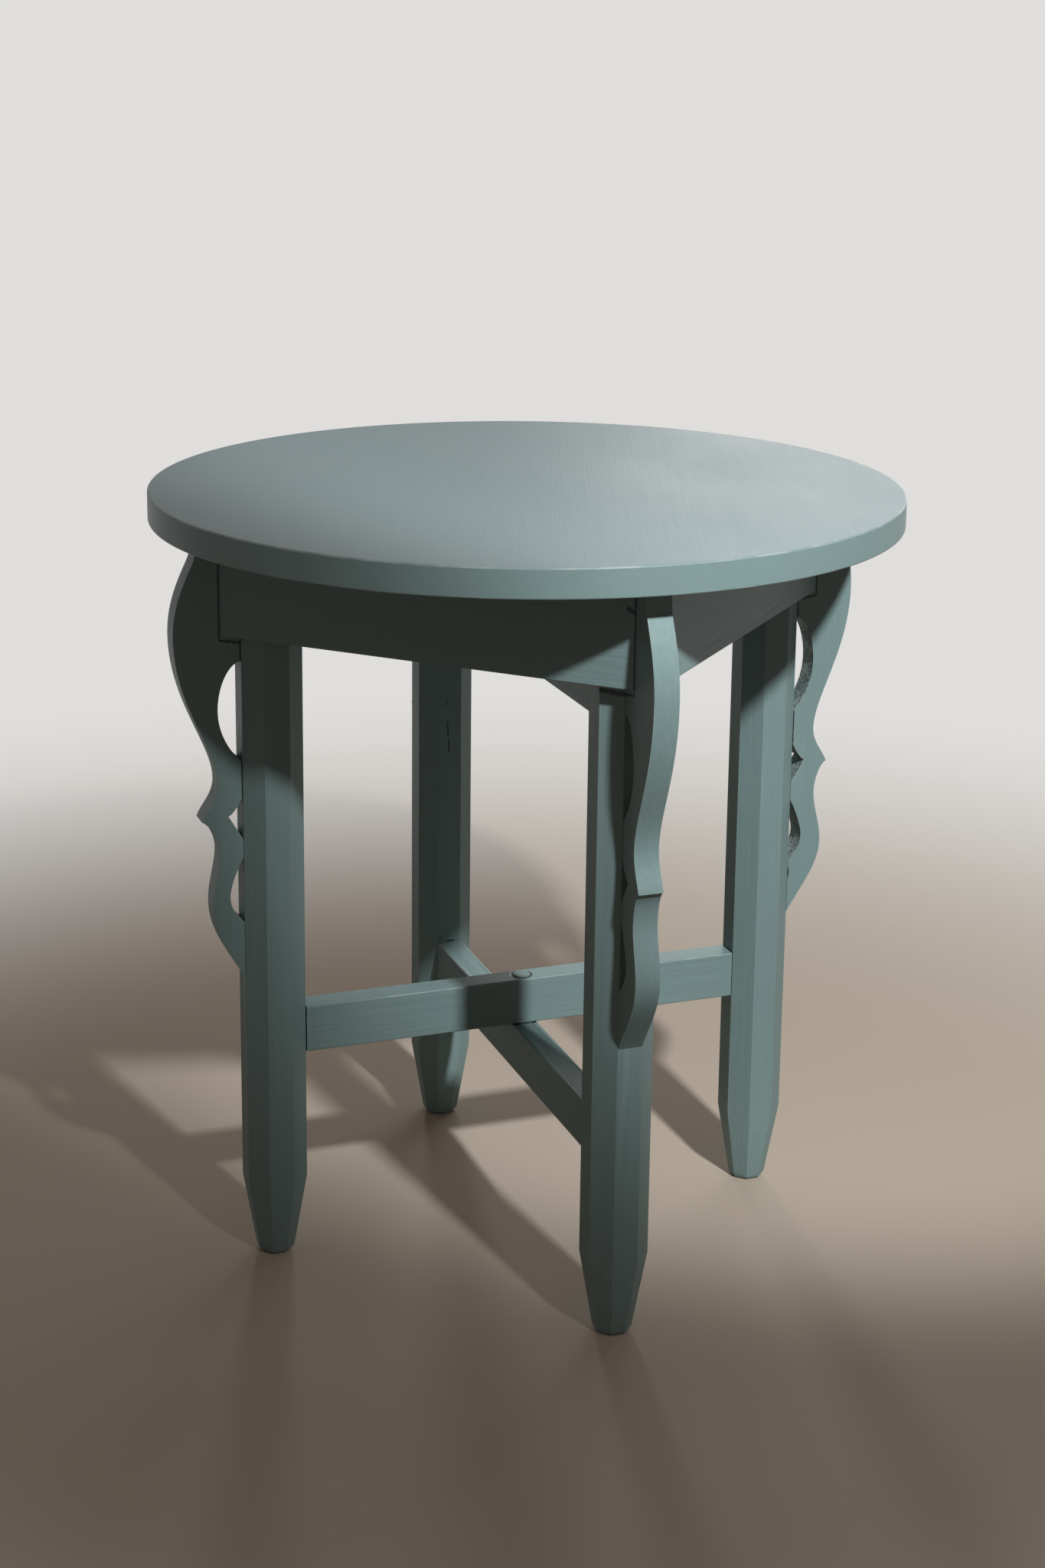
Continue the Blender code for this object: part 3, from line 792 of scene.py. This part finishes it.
plated_steel = make_steel()
for side in SIDES:
    low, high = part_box(f"block_screw_{side}")
    middle = (low + high) / 2
    head = (high.x - low.x) / 2
    shank = head / 2
    neck = low.z + head - shank
    screw = turned_solid(
        [(0, low.z), (head, low.z), (shank, neck), (shank, high.z - 2 * shank), (0, high.z)],
        SCREW_SIDES)
    cut_slot(screw, low.z)
    bmesh.ops.translate(screw, verts=screw.verts, vec=(middle.x, middle.y, 0))
    dress(f"slotted_screw_{side}", screw, f"block_screw_{side}", plated_steel, slot="steel")


# Dowels
# Plain round dowels of bare wood, glued into the legs, boards and brackets.
# They are out of sight once the table is together, so the CAD solids stay and get the wood.
dowel_wood = bare_wood("bare_wood_dowels", 0)
for name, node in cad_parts.items():
    if "_dowel_" in name:
        node.data.materials.clear()
        node.data.materials.append(dowel_wood)


# Floor
# A plain pale floor that runs back into the pale background without a line.
# It is no part of the table, and keeps the table's shadow.
FLOOR_COLOUR = (0.395, 0.342, 0.280)
FLOOR_ROUGHNESS = 0.85
FLOOR_RADIUS = 14
FLOOR_SIDES = 96
PATCHES_PER_METRE = 3
PATCH_SHADE = 0.95
BACKGROUND_COLOUR = (0.74, 0.73, 0.715)
FADE_STARTS = 0.50
FADE_ENDS = 1.7


def seen_plainly(tree):
    """A mask for the rays that show the background as it is: straight, in gloss, or in glass."""
    path = add(tree, "ShaderNodeLightPath").outputs
    seen = sum_of(tree, "MAXIMUM", path["Is Camera Ray"], path["Is Glossy Ray"])
    return sum_of(tree, "MAXIMUM", seen, path["Is Transmission Ray"])


floor_shape = bmesh.new()
bmesh.ops.create_circle(floor_shape, cap_ends=True, segments=FLOOR_SIDES, radius=FLOOR_RADIUS)
floor_mesh = bpy.data.meshes.new("floor")
floor_shape.to_mesh(floor_mesh)
floor_shape.free()
floor_paint, tree, near_floor, place = new_material("pale_floor")
near_floor.inputs["Roughness"].default_value = FLOOR_ROUGHNESS
patches = clouds(tree, place, PATCHES_PER_METRE)
patch_colour = [PATCH_SHADE * part for part in FLOOR_COLOUR]
tone = mixed(tree, patches, (*FLOOR_COLOUR, 1), (*patch_colour, 1))
tree.links.new(tone, near_floor.inputs["Base Color"])
glow = add(tree, "ShaderNodeEmission", {"Color": (*BACKGROUND_COLOUR, 1), "Strength": 1.0})
distance = vector_sum(tree, "LENGTH", place)[1]
far = add(
    tree, "ShaderNodeMapRange", {"Value": distance, "From Min": FADE_STARTS, "From Max": FADE_ENDS},
    interpolation_type="SMOOTHSTEP").outputs["Result"]
backdrop = sum_of(tree, "MULTIPLY", far, seen_plainly(tree))
sockets = {0: backdrop, 1: near_floor.outputs[0], 2: glow.outputs[0]}
fade = add(tree, "ShaderNodeMixShader", sockets)
tree.links.new(fade.outputs[0], tree.nodes["Material Output"].inputs["Surface"])
floor_mesh.materials.append(floor_paint)
new_object("floor", floor_mesh)


# Light
# A small lamp high in front, with a soft beam to the right, lets the top shade the apron.
# A wide pale screen at the back right gives the satin top its sheen, and a low lamp behind,
# which no gloss shows, lights the far sides.
FILL_COLOUR = (0.130, 0.088, 0.073)
KEY_PLACE = (0.245, -1.94, 2.08)
KEY_WIDTH = 0.13
LAMPS = {
    "key": (KEY_PLACE, KEY_WIDTH, 6),
    "screen": ((2.10, 2.40, 1.15), 2.2, 28),
    "back": ((0.70, 2.90, 0.42), 0.36, 45),
}
LAMPS_AIM = (0, 0, 0.4)
BEAM_AIM = (0.43, 0.20, 0.56)
BEAM_ANGLE = 35
BEAM_SOFTNESS = 0.5
BEAM_POWER = 320


def new_lamp(name, kind, place, aim, power):
    """A lamp of some kind and power that stands at a place and is turned to its aim."""
    lamp = new_object(name, bpy.data.lights.new(name, kind))
    lamp.location = place
    lamp.rotation_euler = (lamp.location - Vector(aim)).to_track_quat("Z", "Y").to_euler()
    lamp.data.energy = power
    return lamp


beam = new_lamp("beam", "SPOT", KEY_PLACE, BEAM_AIM, BEAM_POWER)
beam.data.spot_size = math.radians(BEAM_ANGLE)
beam.data.spot_blend = BEAM_SOFTNESS
beam.data.shadow_soft_size = KEY_WIDTH / 2
for name, (place, width, power) in LAMPS.items():
    lamp = new_lamp(name, "AREA", place, LAMPS_AIM, power)
    lamp.data.shape = "DISK"
    lamp.data.size = width
    lamp.visible_camera = False
    lamp.visible_glossy = name != "back"

world = bpy.data.worlds.new("pale_room")
world.use_nodes = True
bpy.context.scene.world = world
tree = world.node_tree
light_or_backdrop = mixed(tree, seen_plainly(tree), (*FILL_COLOUR, 1), (*BACKGROUND_COLOUR, 1))
tree.links.new(light_or_backdrop, tree.nodes["Background"].inputs["Color"])
bpy.context.scene.view_settings.view_transform = "Standard"
